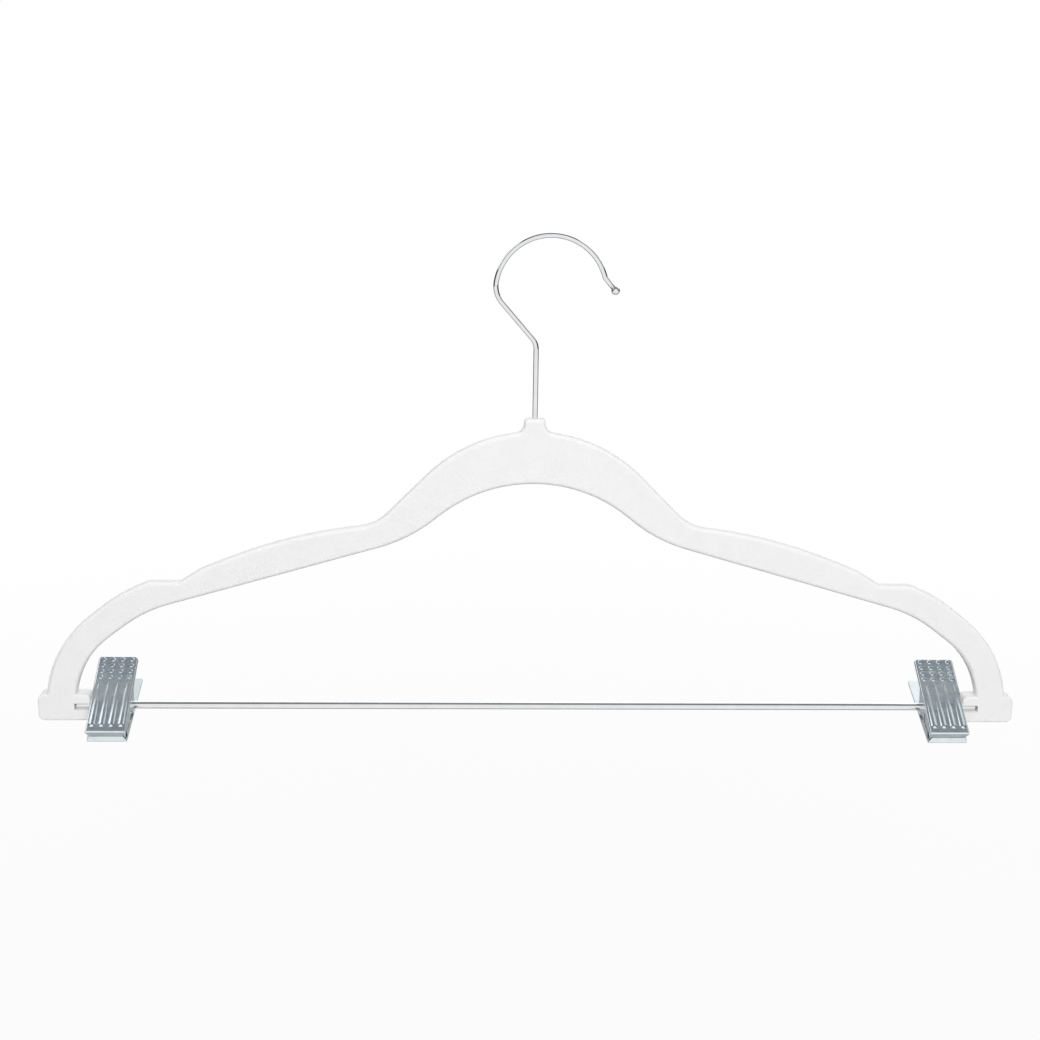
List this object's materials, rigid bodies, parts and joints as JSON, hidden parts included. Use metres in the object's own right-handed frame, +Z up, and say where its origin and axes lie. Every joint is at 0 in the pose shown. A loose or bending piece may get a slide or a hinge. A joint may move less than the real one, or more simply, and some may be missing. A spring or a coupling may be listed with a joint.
{
  "type": "skirt hanger",
  "caption": "Slim flocked clothes hanger with a swivelling wire hook, strap notches, a steel rod between end lugs and sprung steel clips that slide and swing on the rod.",
  "frame": {"origin": "inside of the hook's loop, straight above its stem, where a rail carries the hanger", "axes": "+X along the rod, towards the side the hook opens to; +Y from the front, where the lugs are level with the body, to the back; +Z up along the hook's stem"},
  "size_m": [0.445, 0.0413, 0.2256],
  "materials": {
    "hanger_body": "white flock",
    "clip_rod": "polished",
    "hook": "polished",
    "hook_collar": "plain",
    "left_clip_front_jaw": "bright zinc plating",
    "left_clip_back_jaw": "bright zinc plating",
    "left_clip_spring": "plain",
    "right_clip_front_jaw": "bright zinc plating",
    "right_clip_back_jaw": "bright zinc plating",
    "right_clip_spring": "plain"
  },
  "bodies": {
    "hook": {"hook": "hook", "hook_collar": "hook_collar"},
    "hanger": {"hanger_body": "hanger_body", "clip_rod": "clip_rod"},
    "left_clip_slider": {"left_clip_spring": "left_clip_spring"},
    "left_clip_back": {"left_clip_back_jaw": "left_clip_back_jaw"},
    "left_clip_front": {"left_clip_front_jaw": "left_clip_front_jaw"},
    "right_clip_slider": {"right_clip_spring": "right_clip_spring"},
    "right_clip_back": {"right_clip_back_jaw": "right_clip_back_jaw"},
    "right_clip_front": {"right_clip_front_jaw": "right_clip_front_jaw"}
  },
  "joints": [
    {"name": "hook_swivel", "type": "hinge", "parent": "hook", "child": "hanger", "pos_m": [0, 0, 0], "axis": [0, 0, 1], "continuous": true},
    {"name": "left_clip_slide", "type": "slide", "parent": "hanger", "child": "left_clip_slider", "axis": [1, 0, 0], "range_m": [0, 0.18]},
    {"name": "left_clip_swing", "type": "hinge", "parent": "left_clip_slider", "child": "left_clip_back", "pos_m": [-0.18946, 0, -0.21054], "axis": [1, 0, 0], "continuous": true},
    {"name": "left_clip_squeeze", "type": "hinge", "parent": "left_clip_back", "child": "left_clip_front", "pos_m": [-0.18946, 0, -0.21054], "axis": [-1, 0, 0], "range_deg": [0, 20], "stiffness_Nm_per_rad": 0.3, "springref_deg": -17.19, "deforming": ["left_clip_spring"]},
    {"name": "right_clip_slide", "type": "slide", "parent": "hanger", "child": "right_clip_slider", "axis": [-1, 0, 0], "range_m": [0, 0.18]},
    {"name": "right_clip_swing", "type": "hinge", "parent": "right_clip_slider", "child": "right_clip_back", "pos_m": [0.18946, 0, -0.21054], "axis": [1, 0, 0], "continuous": true},
    {"name": "right_clip_squeeze", "type": "hinge", "parent": "right_clip_back", "child": "right_clip_front", "pos_m": [0.18946, 0, -0.21054], "axis": [-1, 0, 0], "range_deg": [0, 20], "stiffness_Nm_per_rad": 0.3, "springref_deg": -17.19, "deforming": ["right_clip_spring"]}
  ]
}
